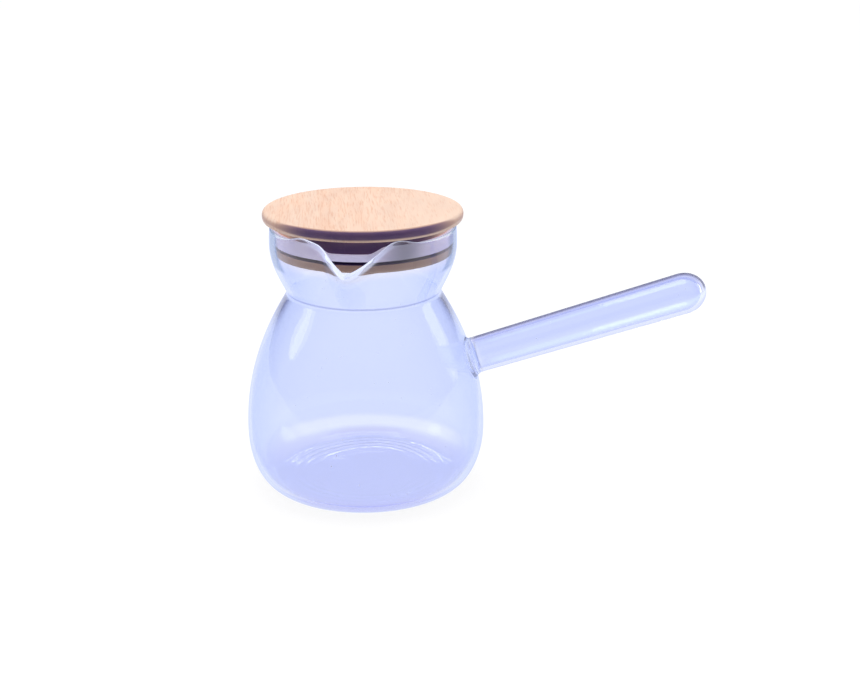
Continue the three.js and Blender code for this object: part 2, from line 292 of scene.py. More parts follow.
class StageSettings(PropertyGroup):
    """Camera and light"""
    camera: FloatVectorProperty(
        name="Camera", description="Where the camera stands before it turns about the pot", size=3,
        subtype="TRANSLATION", unit="LENGTH", default=(0.0297, -0.6216, 0.2732),
    )
    camera_yaw: degrees("Camera yaw", 6.0, "How far the camera turns about the pot")
    camera_pitch: degrees("Camera pitch", 18.84, "How far the camera looks down")
    lens: FloatProperty(
        name="Lens", description="Focal length on a 36 mm wide sensor", default=60.6, unit="CAMERA",
    )
    camera_shift: FloatVectorProperty(
        name="Camera shift", description="Shift of the picture as a share of its width", size=2,
        default=(-0.0006, 0.0006),
    )
    top_lamp: watts("Top lamp", 5.05, "Power of the soft lamp above")
    left_lamp: watts("Left lamp", 0.2, "Power of the lamp on the left")
    right_lamp: watts("Right lamp", 0.28, "Power of the lamp on the right")
    back_lamp: watts("Back lamp", 0.045, "Power of the lamp behind, which makes glints on the body")
    bounces: IntProperty(
        name="Bounces", description="How often light may bounce inside the glass", default=16, min=0,
    )
    floor: colour("Floor", (0.14, 0.14, 0.14), "Floor as the lamps light it")
    floor_glow: fraction("Floor glow", 0.92, "White that the floor shows by itself")
    floor_bounce: fraction("Floor bounce", 0.75, "White that the floor throws back")
    room_front: colour("Room in front", (0.06, 0.05, 0.13), "Light from the camera's side")
    room_back: colour("Room behind", (0.93, 0.92, 0.93), "Light from the sides, behind and above")
    mirrored: colour("Mirrored", (0.66, 0.73, 1.0), "What the glass mirrors of the floor behind it")
    backdrop: colour("Backdrop", (0.76, 0.76, 0.96), "What shows through the glass just above the floor")
    horizon: colour("Horizon", (0.12, 0.13, 0.24), "What the glass mirrors just above the floor")
    ceiling: colour("Ceiling", (0.30, 0.31, 0.45), "What the glass mirrors from above")


class PotSettings(PropertyGroup):
    """All settings of the pot"""
    glass: PointerProperty(type=GlassSizes)
    handle: PointerProperty(type=HandleSizes)
    lid: PointerProperty(type=LidSizes)
    seal: PointerProperty(type=SealSizes)
    finish: PointerProperty(type=Finishes)
    stage: PointerProperty(type=StageSettings)


# Small formulas that several shapes share

def soft_abs(x, rounding):
    """The size of x with a rounded corner: the hypotenuse of x and the rounding, less the rounding."""
    return np.hypot(x, rounding) - rounding


def soft_ramp(x, rounding):
    """The larger of x and zero, rounded: half the sum of x and the hypotenuse of x and the rounding."""
    return (x + np.hypot(x, rounding)) / 2


def smooth_step(x, low, high):
    """0 below low, 1 above high, and three squares less two cubes of the share between them."""
    t = np.clip((x - low) / (high - low), 0, 1)
    return t * t * (3 - 2 * t)


def hump(x, low, full, fading, high):
    """1 from full to fading and 0 outside low and high, with a smooth step on each side."""
    return smooth_step(x, low, full) * (1 - smooth_step(x, fading, high))


def bell(x, width):
    """1 at zero and less on both sides: e to the power of minus the square of x over the width."""
    return np.exp(-((x / width) ** 2))


def rim_arc(angle, glass):
    """Distance along the rim from the middle of the lip: the rim's radius times the shortest turn."""
    turn = angle - LIP_DIRECTION
    return glass.rim_radius * np.arctan2(np.sin(turn), np.cos(turn))


def tent(arc, width, rounding, foot=0.12):
    """How far a place is inside a V: 1 at its middle and 0 outside, with a rounded top and foot."""
    return soft_ramp(1 - soft_abs(arc, rounding) / (width / 2), foot)


def rim_line(angle, glass):
    """Height of the rim: level, plus a bell-shaped rise on each side of the lip, less the V.

    The V is stretched on the handle's side and pressed on the other, by a rounded sign of the distance.
    """
    arc = rim_arc(angle, glass)
    rise = bell(np.abs(arc) - glass.shoulder_offset, glass.shoulder_width)
    sign_round = 4 * MM
    side = arc / np.hypot(arc, sign_round)
    dip = glass.lip_dip * tent(arc / (1 + glass.lip_skew * side), glass.lip_width, glass.lip_round)
    return glass.rim_height + glass.shoulder_lift * rise - dip


def upper_radius(z, glass):
    """Radius above the belly: the larger of the shoulder's ellipse and the collar, rounded where they cross.

    The ellipse is upright at the belly, passes through the waist and is flattened between them, by the cube
    of the share of the height times what is left of it. The collar is a quarter sine wave from the waist to
    its widest ring, then closes in to the rim with the square of the height.
    """
    belly, waist = glass.belly_radius, glass.waist_radius
    reach = (glass.waist_height - glass.belly_height) / math.sqrt(1 - (waist / belly) ** 2)
    shoulder = belly * np.sqrt(np.clip(1 - ((z - glass.belly_height) / reach) ** 2, 0, 1))
    share = np.clip((z - glass.belly_height) / (glass.waist_height - glass.belly_height), 0, 1)
    highest = 27 / 256
    shoulder = shoulder - glass.shoulder_flat * share ** 3 * (1 - share) / highest
    rise = np.clip((z - glass.waist_height) / (glass.collar_height - glass.waist_height), -1, 1)
    collar = waist + (glass.collar_radius - waist) * np.sin(math.pi / 2 * rise)
    drop = glass.rim_height - glass.collar_height
    above = np.clip((z - glass.collar_height) / drop, 0, None)
    collar = collar + (glass.rim_radius - glass.collar_radius) * above ** 2
    return collar + soft_ramp(shoulder - collar, glass.waist_round)


def lip_pull(angle, z, glass):
    """Outward pull towards the lip: a bell-shaped lean that fades down the body, and a beak.

    The beak is a tent, which widens and grows from the waist to the rim.
    """
    arc = rim_arc(angle, glass)
    fade = smooth_step(z, glass.waist_height - glass.lean_fade, glass.waist_height)
    lean = glass.lean * bell(arc, glass.lean_width) * fade
    share = np.clip((z - glass.waist_height) / (rim_line(angle, glass) - glass.waist_height), 1e-3, None)
    beak = glass.beak_pull * share ** 1.5 * tent(arc, glass.beak_width * share ** 0.5, glass.beak_round)
    return lean + np.where(z > glass.waist_height, beak, 0)


def wobble(angle, z, glass, phase):
    """Unevenness of blown glass: three slow sine waves around and up the body, added up."""
    up = z / (40 * MM)
    waves = sum(
        height * np.sin(number * angle + slope * up + start + share * phase)
        for number, slope, height, start, share in WAVES
    )
    return glass.wobble * waves * smooth_step(z, 4 * MM, 20 * MM)


def outer_radius(angle, z, glass):
    """Radius of the body's outside above the belly: its profile plus the pull to the lip and the wobble."""
    return upper_radius(z, glass) + lip_pull(angle, z, glass) + wobble(angle, z, glass, 0.0)


# Meshes from grids of points

def grid_mesh(name, rings, poles=()):
    """A closed skin over rings of points, an array of rings by points by three.

    Neighbouring rings are joined by quads, and each ring is closed. Two poles close the first and the
    last ring with fans. Without poles the last ring is joined to the first.
    """
    rows, around = rings.shape[:2]
    points = rings.reshape(-1, 3)
    here = np.arange(around)
    beside = np.roll(here, -1)
    row = np.arange(rows)[:, None] * around
    above = np.roll(row, -1, axis=0)
    quads = np.stack([row + here, row + beside, above + beside, above + here], axis=-1)
    faces = quads.reshape(-1, 4).tolist()
    if poles:
        end = (rows - 1) * around
        first = np.full(around, len(points))
        opening = np.stack([first, beside, here], axis=-1)
        closing = np.stack([first + 1, end + here, end + beside], axis=-1)
        faces = faces[:end] + opening.tolist() + closing.tolist()
        points = np.vstack([points, *poles])
    mesh = bpy.data.meshes.new(name)
    mesh.from_pydata(points.tolist(), [], faces)
    mesh.validate()
    mesh.shade_smooth()
    piece = bpy.data.objects.new(name, mesh)
    bpy.context.scene.collection.objects.link(piece)
    return piece


def point_values(piece, name, values):
    """Stores a value for each point of a skin, and 0 for the poles that close it."""
    filled = np.zeros(len(piece.data.vertices), np.float32)
    filled[:values.size] = values.ravel()
    piece.data.attributes.new(name, "FLOAT", "POINT").data.foreach_set("value", filled)


def around_axis(radius, height, angle):
    """Points at a radius, an angle and a height around +Z."""
    return np.stack([radius * np.cos(angle), radius * np.sin(angle), height + 0 * angle], axis=-1)


def offset_inwards(radius, height, distance):
    """A profile moved in along its own normal, which is its tangent turned by a quarter."""
    along_r = np.gradient(radius, axis=0)
    along_z = np.gradient(height, axis=0)
    size = np.hypot(along_r, along_z)
    return radius - distance * along_z / size, height + distance * along_r / size


def slanted(radius, height, angle):
    """How much longer a radial cut through a wall is than its thickness.

    It is the hypotenuse of 1 and the slope, which is the change of radius around the body at one height.
    """
    around = (np.roll(angle, -1, 1) - np.roll(angle, 1, 1)) % TURN * radius
    change_r = (np.roll(radius, -1, 1) - np.roll(radius, 1, 1)) / around
    change_z = (np.roll(height, -1, 1) - np.roll(height, 1, 1)) / around
    upwards = np.gradient(radius, axis=0) / np.maximum(np.gradient(height, axis=0), 1e-5)
    return np.hypot(1, change_r - np.clip(upwards, -2, 2) * change_z)


def rounded_profile(corners, steps):
    """A profile through corners given as (radius, height, rounding), each cut by a quadratic curve.

    The curve starts and ends at the rounding's distance from the corner and leaves towards it.
    """
    points = np.array([c[:2] for c in corners], float)
    cuts = np.array([c[2] for c in corners], float)
    before = np.vstack([points[:1], points[:-1]]) - points
    after = np.vstack([points[1:], points[-1:]]) - points
    to_before = before / np.maximum(np.linalg.norm(before, axis=1, keepdims=True), 1e-9)
    to_after = after / np.maximum(np.linalg.norm(after, axis=1, keepdims=True), 1e-9)
    start = points + to_before * cuts[:, None]
    end = points + to_after * cuts[:, None]
    t = np.linspace(0, 1, steps)[None, :, None]
    curve = (1 - t) ** 2 * start[:, None] + 2 * t * (1 - t) * points[:, None] + t ** 2 * end[:, None]
    keep = np.where(cuts > 0, steps, 1)
    used = np.arange(steps)[None, :] < keep[:, None]
    return curve[used]


# The pieces

def body_angles(count):
    """Angles around the pot, closer together over the lip: an even turn less a share of its sine."""
    crowding = 0.5
    turn = TURN * np.arange(count) / count
    return LIP_DIRECTION + turn - crowding * np.sin(turn)


def blown_body(glass):
    """The body as one closed skin: foot, outside, rim, inside and floor, as rings from pole to pole.

    Foot to belly is a quarter ellipse. Belly to waist and waist to rim follow upper_radius with the pull
    towards the lip. The inside is the outside moved in by the wall, which thickens to the floor along the
    quarter ellipse. The rim is half an ellipse across the wall. The floor's ripple is a cosine under a bell.
    The values lip_edge and crease mark the melted lip and the waist, by smooth steps of the height, for a
    painted glow on the lip and painted shade in the waist's crease.
    """
    angle = body_angles(BODY_POINTS)[None, :]
    arc = rim_arc(angle, glass)
    rim_top = rim_line(angle, glass)
    t = np.linspace(0, math.pi / 2, BELLY_RINGS)[:, None]
    low_r = glass.foot_radius + (glass.belly_radius - glass.foot_radius) * np.sin(t) + 0 * angle
    low_z = glass.belly_height * (1 - np.cos(t)) + 0 * angle
    low_r = low_r + wobble(angle, low_z, glass, 0.0)
    low_wall = glass.floor + (glass.wall - glass.floor) * np.sin(t) + 0 * angle

    share = 1 - (1 - np.linspace(0, 1, SHOULDER_RINGS)[1:, None]) ** 1.6
    mid_z = glass.belly_height + (glass.waist_height - glass.belly_height) * share + 0 * angle
    share = np.linspace(0, 1, COLLAR_RINGS)[1:, None] ** 1.5
    high_z = glass.waist_height + (rim_top - glass.waist_height) * share
    up_z = np.vstack([mid_z, high_z])
    up_r = outer_radius(angle, up_z, glass)

    outer_r = np.vstack([low_r, up_r])
    outer_z = np.vstack([low_z, up_z])
    bead = glass.lip_bead * tent(arc, 1.2 * glass.lip_width, glass.beak_round)
    high_wall = glass.wall + bead * smooth_step(up_z, rim_top - 7 * MM, rim_top)
    wall = np.vstack([low_wall, high_wall]) * slanted(outer_r, outer_z, angle)
    inner_r, inner_z = offset_inwards(outer_r, outer_z, wall)
    inner_r = inner_r + wobble(angle, outer_z, glass, 1.9) - wobble(angle, outer_z, glass, 0.0)

    t = np.linspace(0, math.pi, RIM_RINGS)[1:-1, None]
    mid_r, half_r = (outer_r[-1] + inner_r[-1]) / 2, (outer_r[-1] - inner_r[-1]) / 2
    mid_z, half_z = (outer_z[-1] + inner_z[-1]) / 2, high_wall[-1] / 2
    rim_r, rim_z = mid_r + half_r * np.cos(t), mid_z + half_z * np.sin(t)

    share = np.linspace(0.02, 1, FOOT_RINGS)[:-1, None]
    foot_r, foot_z = outer_r[0] * share, 0 * share + outer_z[0]
    share = np.linspace(1, 0.01, FLOOR_RINGS)[1:, None]
    floor_r = inner_r[0] * share
    pitch, middle, spread = 3.6 * MM, 33 * MM, 6 * MM
    ring = np.cos(TURN * floor_r / pitch) * bell(floor_r - middle, spread)
    floor_z = inner_z[0] + glass.ripple * ring

    radius = np.vstack([foot_r, outer_r, rim_r, inner_r[::-1], floor_r])
    height = np.vstack([foot_z, outer_z, rim_z, inner_z[::-1], floor_z])
    rings = around_axis(radius, height, angle)
    piece = grid_mesh("blown_body", rings, [(0, 0, 0), (0, 0, glass.floor)])
    # The mark lip_edge places the painted glow along the V's melted edge
    along = np.clip(1.6 * tent(arc, 1.5 * glass.lip_width, glass.beak_round), 0, 1)
    along = along * (1 - 0.45 * bell(arc, 3.5 * MM))
    edge = along * smooth_step(height - rim_top, -1.9 * MM, -0.5 * MM)
    # Painted shade in the waist's crease: the mark is 1 in a thin band at the waist
    crease_height = glass.waist_height + 1.3 * MM
    crease = 1 - smooth_step(np.abs(height - crease_height), 0.2 * MM, 0.7 * MM)
    point_values(piece, "lip_edge", edge)
    point_values(piece, "crease", crease)
    return piece


def handle_frame(glass, handle):
    """Root point, axis and two directions square to it, from the cosine and sine of the handle's tilt."""
    root = np.array([upper_radius(np.array(handle.root_height), glass), 0, handle.root_height])
    c, s = math.cos(handle.tilt), math.sin(handle.tilt)
    return root, np.array([c, 0, s]), np.array([-s, 0, c]), np.array([0, -1.0, 0])


def handle_seat(radius, around, glass, handle):
    """Distance along the handle's axis where a line beside it meets the body, by halving an interval."""
    root, axis, up, side = handle_frame(glass, handle)
    beside = radius[..., None] * (np.cos(around)[..., None] * up + np.sin(around)[..., None] * side)
    low, high = np.full(around.shape, -25 * MM), np.full(around.shape, 12 * MM)
    for _ in range(HALVINGS):
        middle = (low + high) / 2
        point = root + middle[..., None] * axis + beside
        angle = np.arctan2(point[..., 1], point[..., 0])
        surface = outer_radius(angle, point[..., 2], glass) - handle.seat
        outside = np.hypot(point[..., 0], point[..., 1]) > surface
        low, high = np.where(outside, low, middle), np.where(outside, middle, high)
    return (low + high) / 2


def hollow_handle(glass, handle):
    """The handle as one closed skin around its axis: bore, seat in the body, weld, tube and domed end.

    Tube and bore widen evenly from root to dome, and each dome is a quarter ellipse. The weld is a quarter
    ellipse from the tube out to its foot on the body, larger below by a cosine, and the bore's fillet is
    one turned inwards. The seat follows the body from the fillet to the weld's foot. The values weld and
    highlight_streak mark the fused end and two painted highlight bands along the tube, by smooth steps along
    and around it, and ring marks the two thin seams of the weld, each a bell along the tube.
    """
    root, axis, up, side = handle_frame(glass, handle)
    around = (TURN * np.arange(HANDLE_POINTS) / HANDLE_POINTS)[None, :]
    straight = handle.reach - handle.dome
    flare = handle.end_radius - handle.root_radius

    def at(radius, along):
        """Points at a radius around the axis and a distance along it."""
        radius, along = radius + 0 * around, along + 0 * around
        square = np.cos(around)[..., None] * up + np.sin(around)[..., None] * side
        return root + along[..., None] * axis + radius[..., None] * square

    def tube(inset, start, stop, steps):
        """Rings along the widening tube, closer together near the body by a power of their share."""
        along = start + (stop - start) * np.linspace(0, 1, steps)[:, None] ** 1.8
        return handle.root_radius + flare * np.clip(along / straight, 0, 1) - inset, along

    def dome(radius, start, end):
        """Rings of a quarter ellipse that closes in to the axis."""
        t = np.linspace(0, math.pi / 2, DOME_RINGS)[1:-1, None]
        return radius * np.cos(t) + 0 * around, start + (end - start) * np.sin(t) + 0 * around

    bore_end = handle.reach - handle.tip_wall
    bore_stop = bore_end - handle.bore_dome
    bore_seat = handle_seat(handle.root_radius - handle.wall + 0 * around, around, glass, handle)
    tube_seat = handle_seat(handle.root_radius + 0 * around, around, glass, handle)
    mouth = handle.root_radius - handle.wall - handle.bore_round
    sag = 1 - 0.3 * np.cos(around)
    foot = handle.root_radius + handle.weld_spread * sag
    seat_r = mouth + (foot - mouth) * np.linspace(0, 1, SEAT_RINGS)[:, None]
    seat_s = handle_seat(seat_r, around + 0 * seat_r, glass, handle)
    t = np.linspace(0, math.pi / 2, WELD_RINGS)[1:, None]
    weld_s = seat_s[-1] + (tube_seat + handle.weld_reach * sag - seat_s[-1]) * (1 - np.cos(t))
    tube_r = handle.root_radius + flare * np.clip(weld_s / straight, 0, 1)
    weld_r = tube_r + handle.weld_spread * sag * (1 - np.sin(t))
    fillet_s = seat_s[0] + (bore_seat + handle.bore_round - seat_s[0]) * (1 - np.cos(t))
    fillet_r = mouth + handle.bore_round * np.sin(t) + 0 * around

    bore_r, bore_s = tube(handle.wall, fillet_s[-1], bore_stop, BORE_RINGS)
    cap_r, cap_s = dome(bore_r[-1], bore_stop, bore_end)
    out_r, out_s = tube(0.0, weld_s[-1], straight, TUBE_RINGS)
    tip_r, tip_s = dome(handle.end_radius, straight, handle.reach)
    radius = np.vstack([cap_r[::-1], bore_r[::-1], fillet_r[-2::-1], seat_r, weld_r, out_r[1:], tip_r])
    along = np.vstack([cap_s[::-1], bore_s[::-1], fillet_s[-2::-1], seat_s, weld_s, out_s[1:], tip_s])
    tips = [root + bore_end * axis, root + handle.reach * axis]
    piece = grid_mesh("hollow_handle", at(radius, along), tips)
    from_body = along - tube_seat
    # Painted highlight: two bands along the tube where the lamps' reflections lie
    highlight_streak = hump(around, *WIDE_STREAK) + hump(around, *THIN_STREAK)
    seams = sum(
        strength * bell(from_body - distance, width) * smooth_step(around, start, full)
        for strength, distance, width, start, full in (NEAR_SEAM, FAR_SEAM)
    )
    outside = radius > handle.root_radius - 0.2 * MM
    point_values(piece, "weld", 1 - smooth_step(from_body, 1 * MM, 5 * MM))
    point_values(piece, "ring", seams * (1 - smooth_step(around, *SEAMS_FADE)) * outside)
    point_values(piece, "highlight_streak", highlight_streak * smooth_step(along, 4 * MM, 14 * MM))
    return piece


def turned_lid(lid):
    """The lid as a profile turned about +Z: plug, groove, stem, flange with rounded edges, and flat top."""
    corner = lid.corner
    corners = [
        (2 * MM, lid.plug_bottom, 0),
        (lid.plug_radius - 6 * MM, lid.plug_bottom, 0),
        (lid.plug_radius, lid.plug_bottom, lid.plug_edge),
        (lid.plug_radius, lid.plug_bottom + lid.plug_lip, corner),
        (lid.groove_radius, lid.plug_bottom + lid.plug_lip, corner),
        (lid.groove_radius, lid.groove_top, corner),
        (lid.stem_radius, lid.groove_top, corner),
        (lid.stem_radius, lid.flange_under, corner),
        (lid.flange_radius, lid.flange_under, lid.under_round),
        (lid.flange_radius, lid.top, lid.top_round),
        (lid.flange_radius - 6 * MM, lid.top, 0),
        (20 * MM, lid.top, 0),
        (2 * MM, lid.top, 0),
    ]
    profile = rounded_profile(corners, CORNER_POINTS)
    angle = (TURN * np.arange(LID_POINTS) / LID_POINTS)[None, :]
    rings = around_axis(profile[:, :1], profile[:, 1:], angle)
    return grid_mesh("turned_lid", rings, [(0, 0, lid.plug_bottom), (0, 0, lid.top)])


def soft_seal(seal, glass):
    """The seal as a section carried around the plug: a foot in the groove and a fin that stands up.

    The fin's heel is a quarter circle and its tip half a circle. Over the lip the tip eases out and down by
    a smooth step of the distance along the rim. The value clear marks two places beside the lip for painted
    shade, each a bell along the rim, the one on the handle's side the stronger.
    """
    angle = body_angles(SEAL_POINTS)[None, :]
    arc = rim_arc(angle, glass)
    half = seal.ease_width / 2
    free = 1 - smooth_step(np.abs(arc), half - seal.ease_run, half)
    tip_r = seal.radius + seal.ease_out * free
    tip_z = seal.top - seal.ease_drop * free
    t = np.linspace(0, math.pi, FIN_POINTS)[:, None]
    base_z = seal.bottom + seal.heel + seal.fin / 2
    heel = np.linspace(-math.pi / 2, 0, HEEL_POINTS)[:, None]
    heel_r = seal.radius - seal.fin / 2 + seal.fin / 2 * np.cos(heel) + 0 * angle
    heel_z = base_z + seal.fin / 2 * np.sin(heel) + 0 * angle
    share = np.linspace(0, 1, FIN_POINTS)[1:-1, None]
    face_r = seal.radius + (tip_r - seal.radius) * share ** 1.5
    face_z = base_z + (tip_z - seal.fin / 2 - base_z) * share
    end_r = tip_r - seal.fin / 2 + seal.fin / 2 * np.cos(t)
    end_z = tip_z - seal.fin / 2 + seal.fin / 2 * np.sin(t)
    step_z = seal.bottom + seal.foot
    back_r = (face_r - seal.fin)[::-1]
    back_z = (step_z + (tip_z - seal.fin / 2 - step_z) * share)[::-1]
    foot_r = np.array([[seal.radius - seal.fin], [seal.foot_radius], [seal.foot_radius]]) + 0 * angle
    foot_z = np.array([[step_z], [step_z], [seal.bottom]]) + 0 * angle
    radius = np.vstack([heel_r, face_r, end_r, back_r, foot_r])
    height = np.vstack([heel_z, face_z, end_z, back_z, foot_z])
    piece = grid_mesh("soft_seal", around_axis(radius, height, angle))
    # The mark clear places painted shade beside the lip, a bell on each side, stronger on the handle's side
    aside = 25 * MM
    clear = bell(arc - aside, 10 * MM) + 0.3 * bell(arc + aside, 9 * MM)
    point_values(piece, "clear", clear + 0 * radius)
    return piece


# Short ways to put nodes into a tree

BLACK = (0.0, 0.0, 0.0, 1.0)
WHITE = (1.0, 1.0, 1.0, 1.0)


def feed(inputs, values):
    """Links each named input from a socket, or sets it to a value."""
    for name, value in values.items():
        if isinstance(value, NodeSocket):
            value.id_data.links.new(value, inputs[name])
        else:
            inputs[name].default_value = value


def put(kind, values=None, tree=None, **settings):
    """The outputs of a new node in a tree, which is that of its first linked input if none is given."""
    values = values or {}
    if tree is None:
        tree = next(value.id_data for value in values.values() if isinstance(value, NodeSocket))
    made = tree.nodes.new(kind)
    for name, value in settings.items():
        setattr(made, name, value)
    feed(made.inputs, values)
    return made.outputs


def maths(operation, a, b=0.0):
    """The result of a Math node."""
    return put("ShaderNodeMath", {0: a, 1: b}, operation=operation)[0]


def times(product, *values):
    """The product of values."""
    for value in values:
        product = maths("MULTIPLY", product, value)
    return product


def flip(value):
    """1 less a value."""
    return maths("SUBTRACT", 1.0, value)


def ramp(value, low, high, to_low=0.0, to_high=1.0):
    """A value carried smoothly from one range to another."""
    values = {"Value": value, "From Min": low, "From Max": high, "To Min": to_low, "To Max": to_high}
    return put("ShaderNodeMapRange", values, interpolation_type="SMOOTHSTEP")["Result"]


def mix(factor, a, b, blend_type="MIX"):
    """The colour of a Mix node."""
    return put("ShaderNodeMix", {0: factor, 6: a, 7: b}, data_type="RGBA", blend_type=blend_type)[2]


def layered(base, *layers):
    """A colour with others mixed over it in turn, each given as its mask and colour."""
    for mask, over in layers:
        base = mix(mask, base, over)
    return base


def mark(tree, name):
    """A value that the mesh carries."""
    return put("ShaderNodeAttribute", tree=tree, attribute_name=name)["Fac"]


def parts(vector):
    """The X, Y and Z of a vector."""
    return tuple(put("ShaderNodeSeparateXYZ", {"Vector": vector}))


def axis_distance(vector):
    """The distance from the Z axis: the length of a vector laid flat."""
    flat = put("ShaderNodeVectorMath", {0: vector, 1: (1, 1, 0)}, operation="MULTIPLY")["Vector"]
    return put("ShaderNodeVectorMath", {0: flat}, operation="LENGTH")["Value"]


def spun(vector, angle):
    """Coordinates turned about the Z axis."""
    return put("ShaderNodeMapping", {"Vector": vector, "Rotation": (0, 0, angle)})["Vector"]


def stretched(vector, scale):
    """Coordinates scaled by a different number along each axis."""
    return put("ShaderNodeMapping", {"Vector": vector, "Scale": scale})["Vector"]


def noise(vector, detail, roughness=0.5):
    """The outputs of a Noise Texture on coordinates as they come."""
    values = {"Vector": vector, "Scale": 1.0, "Detail": detail, "Roughness": roughness}
    return put("ShaderNodeTexNoise", values)


def specks(vector, **settings):
    """The outputs of a Voronoi Texture on coordinates as they come."""
    values = {"Vector": vector, "Scale": 1.0, "Randomness": 1.0}
    return put("ShaderNodeTexVoronoi", values, feature="F1", **settings)


def bumped(height, strength, distance):
    """The normal of a Bump node."""
    return put("ShaderNodeBump", {"Strength": strength, "Distance": distance, "Height": height})["Normal"]


def mottle_group():
    """A node group that puts out a slow uneven value, for gloss and tone that change over a surface."""
    name = "mottle"
    if name in bpy.data.node_groups:
        return bpy.data.node_groups[name]
    group = bpy.data.node_groups.new(name, "ShaderNodeTree")
    group.interface.new_socket("Vector", in_out="INPUT", socket_type="NodeSocketVector")
    for limit in ("Low", "High"):
        group.interface.new_socket(limit, in_out="INPUT", socket_type="NodeSocketFloat")
    group.interface.new_socket("Value", in_out="OUTPUT", socket_type="NodeSocketFloat")
    given = group.nodes.new("NodeGroupInput").outputs
    cloud = noise(given["Vector"], 4.0, 0.55)["Fac"]
    value = ramp(cloud, 0.3, 0.7, given["Low"], given["High"])
    feed(group.nodes.new("NodeGroupOutput").inputs, {"Value": value})
    return group


def mottled(vector, scale, low, high):
    """The value of a mottle group on coordinates times a scale."""
    values = {"Vector": stretched(vector, scale), "Low": low, "High": high}
    return put("ShaderNodeGroup", values, node_tree=mottle_group())["Value"]


# Finishes

def new_material(name):
    """An empty material, its node tree, the inputs of its Principled shader and Object coordinates."""
    material = bpy.data.materials.new(name)
    material.use_nodes = True
    tree = material.node_tree
    tree.nodes.clear()
    shader = tree.nodes.new("ShaderNodeBsdfPrincipled")
    feed(tree.nodes.new("ShaderNodeOutputMaterial").inputs, {"Surface": shader.outputs["BSDF"]})
    return material, tree, shader.inputs, put("ShaderNodeTexCoord", tree=tree)["Object"]


def clear_glass(name, finish, glass, edge, deep, line):
    """Fire-polished glass: a faint cast, deeper at the foot and along the wall, slow waves and few seeds.

    Edges that face up carry a thin dark line of painted shade, given as its lowest and highest place and
    where along the edge it starts and is full. The waist has a soft crease of painted shade, the melted lip
    is dimmed and painted paler with a glow, and the handle's weld is clear. Painted highlights lighten a
    ring above the foot behind and two streaks along the handle, and painted shade darkens the foot's rounded
    edge in front.
    Light that is caught inside the wall is replaced by a painted glow of the deep cast.
    """
    material, tree, inputs, place = new_material(name)
    _, y, z = parts(place)
    path = put("ShaderNodeLightPath", tree=tree)
    first, depth = path["Is Camera Ray"], path["Ray Depth"]
    facing = put("ShaderNodeLayerWeight", {"Blend": 0.5}, tree)["Facing"]
    upward = parts(put("ShaderNodeNewGeometry", tree=tree)["Normal"])[2]
    melted, crease, highlight_streak, weld, ring = (
        mark(tree, value) for value in ("lip_edge", "crease", "highlight_streak", "weld", "ring")
    )
    # Painted highlight: a band above the foot on the far side (+Y)
    heel = times(ramp(z, 4 * MM, 6.5 * MM), ramp(z, 12 * MM, 9 * MM), ramp(y, 15 * MM, 38 * MM))
    # Painted shade on the foot's rounded edge in front (-Y), for camera rays only
    sole = times(ramp(z, 8.2 * MM, 5.2 * MM), ramp(axis_distance(place), 41 * MM, 44 * MM))
    sole = times(sole, ramp(y, 20 * MM, 0.0), first)
    shade = times(ramp(facing, 0.58, 0.66), ramp(facing, 0.92, 0.84), ramp(z, 103 * MM, 105 * MM))
    # Painted shade: a thin dark line on upward edges near the outline, for camera rays only
    low, high, start, full = line
    dark = times(ramp(upward, 0.15, 0.5), ramp(facing, start, full))
    dark = times(dark, ramp(z, low, low + 14 * MM), ramp(z, high, high - 4 * MM), first)
    cast = layered(
        glass,
        (ramp(z, 14 * MM, 2 * MM), finish.glass_foot),
        (heel, finish.heel_highlight),
        (sole, finish.sole_shade),
        (ramp(z, 105 * MM, 109 * MM), finish.glass_mouth),
        (maths("POWER", facing, 2.0), edge),
        (shade, finish.mouth_shade),
        (dark, finish.shade_and_seam_line),
        (times(crease, first), finish.crease),
        (melted, finish.lip_cast),
        (times(highlight_streak, flip(dark)), finish.highlight_streak),
        (weld, finish.weld),
        (times(ring, first, 0.75), finish.shade_and_seam_line),
    )
    # From the last bounce on the glass is black; at that bounce it shows a painted glow of the deep colour
    caught = maths("GREATER_THAN", depth, CAUGHT - 0.5)
    once = times(caught, maths("LESS_THAN", depth, CAUGHT + 0.5))
    seed = ramp(specks(stretched(place, (150, 150, 90)))["Distance"], 0.075, 0.03)
    gloss = mottled(place, (60, 60, 60), 0.0, 0.02)
    relief = maths("ADD", mottled(place, (70, 70, 26), 0.0, 1.0), times(seed, 0.12))
    feed(inputs, {
        "Base Color": mix(caught, cast, BLACK),
        "Roughness": maths("MAXIMUM", gloss, times(seed, 0.3)),
        "IOR": 1.47,
        "Normal": bumped(relief, 0.1, 0.2 * MM),
        "Transmission Weight": 1.0,
        # Painted glow on the melted lip for camera rays, and the painted glow of caught light
        "Emission Color": layered(
            BLACK, (times(melted, first), finish.lip_painted_glow), (once, mix(weld, deep, finish.glass_deep_glow)),
        ),
        "Emission Strength": 1.0,
    })
    return material


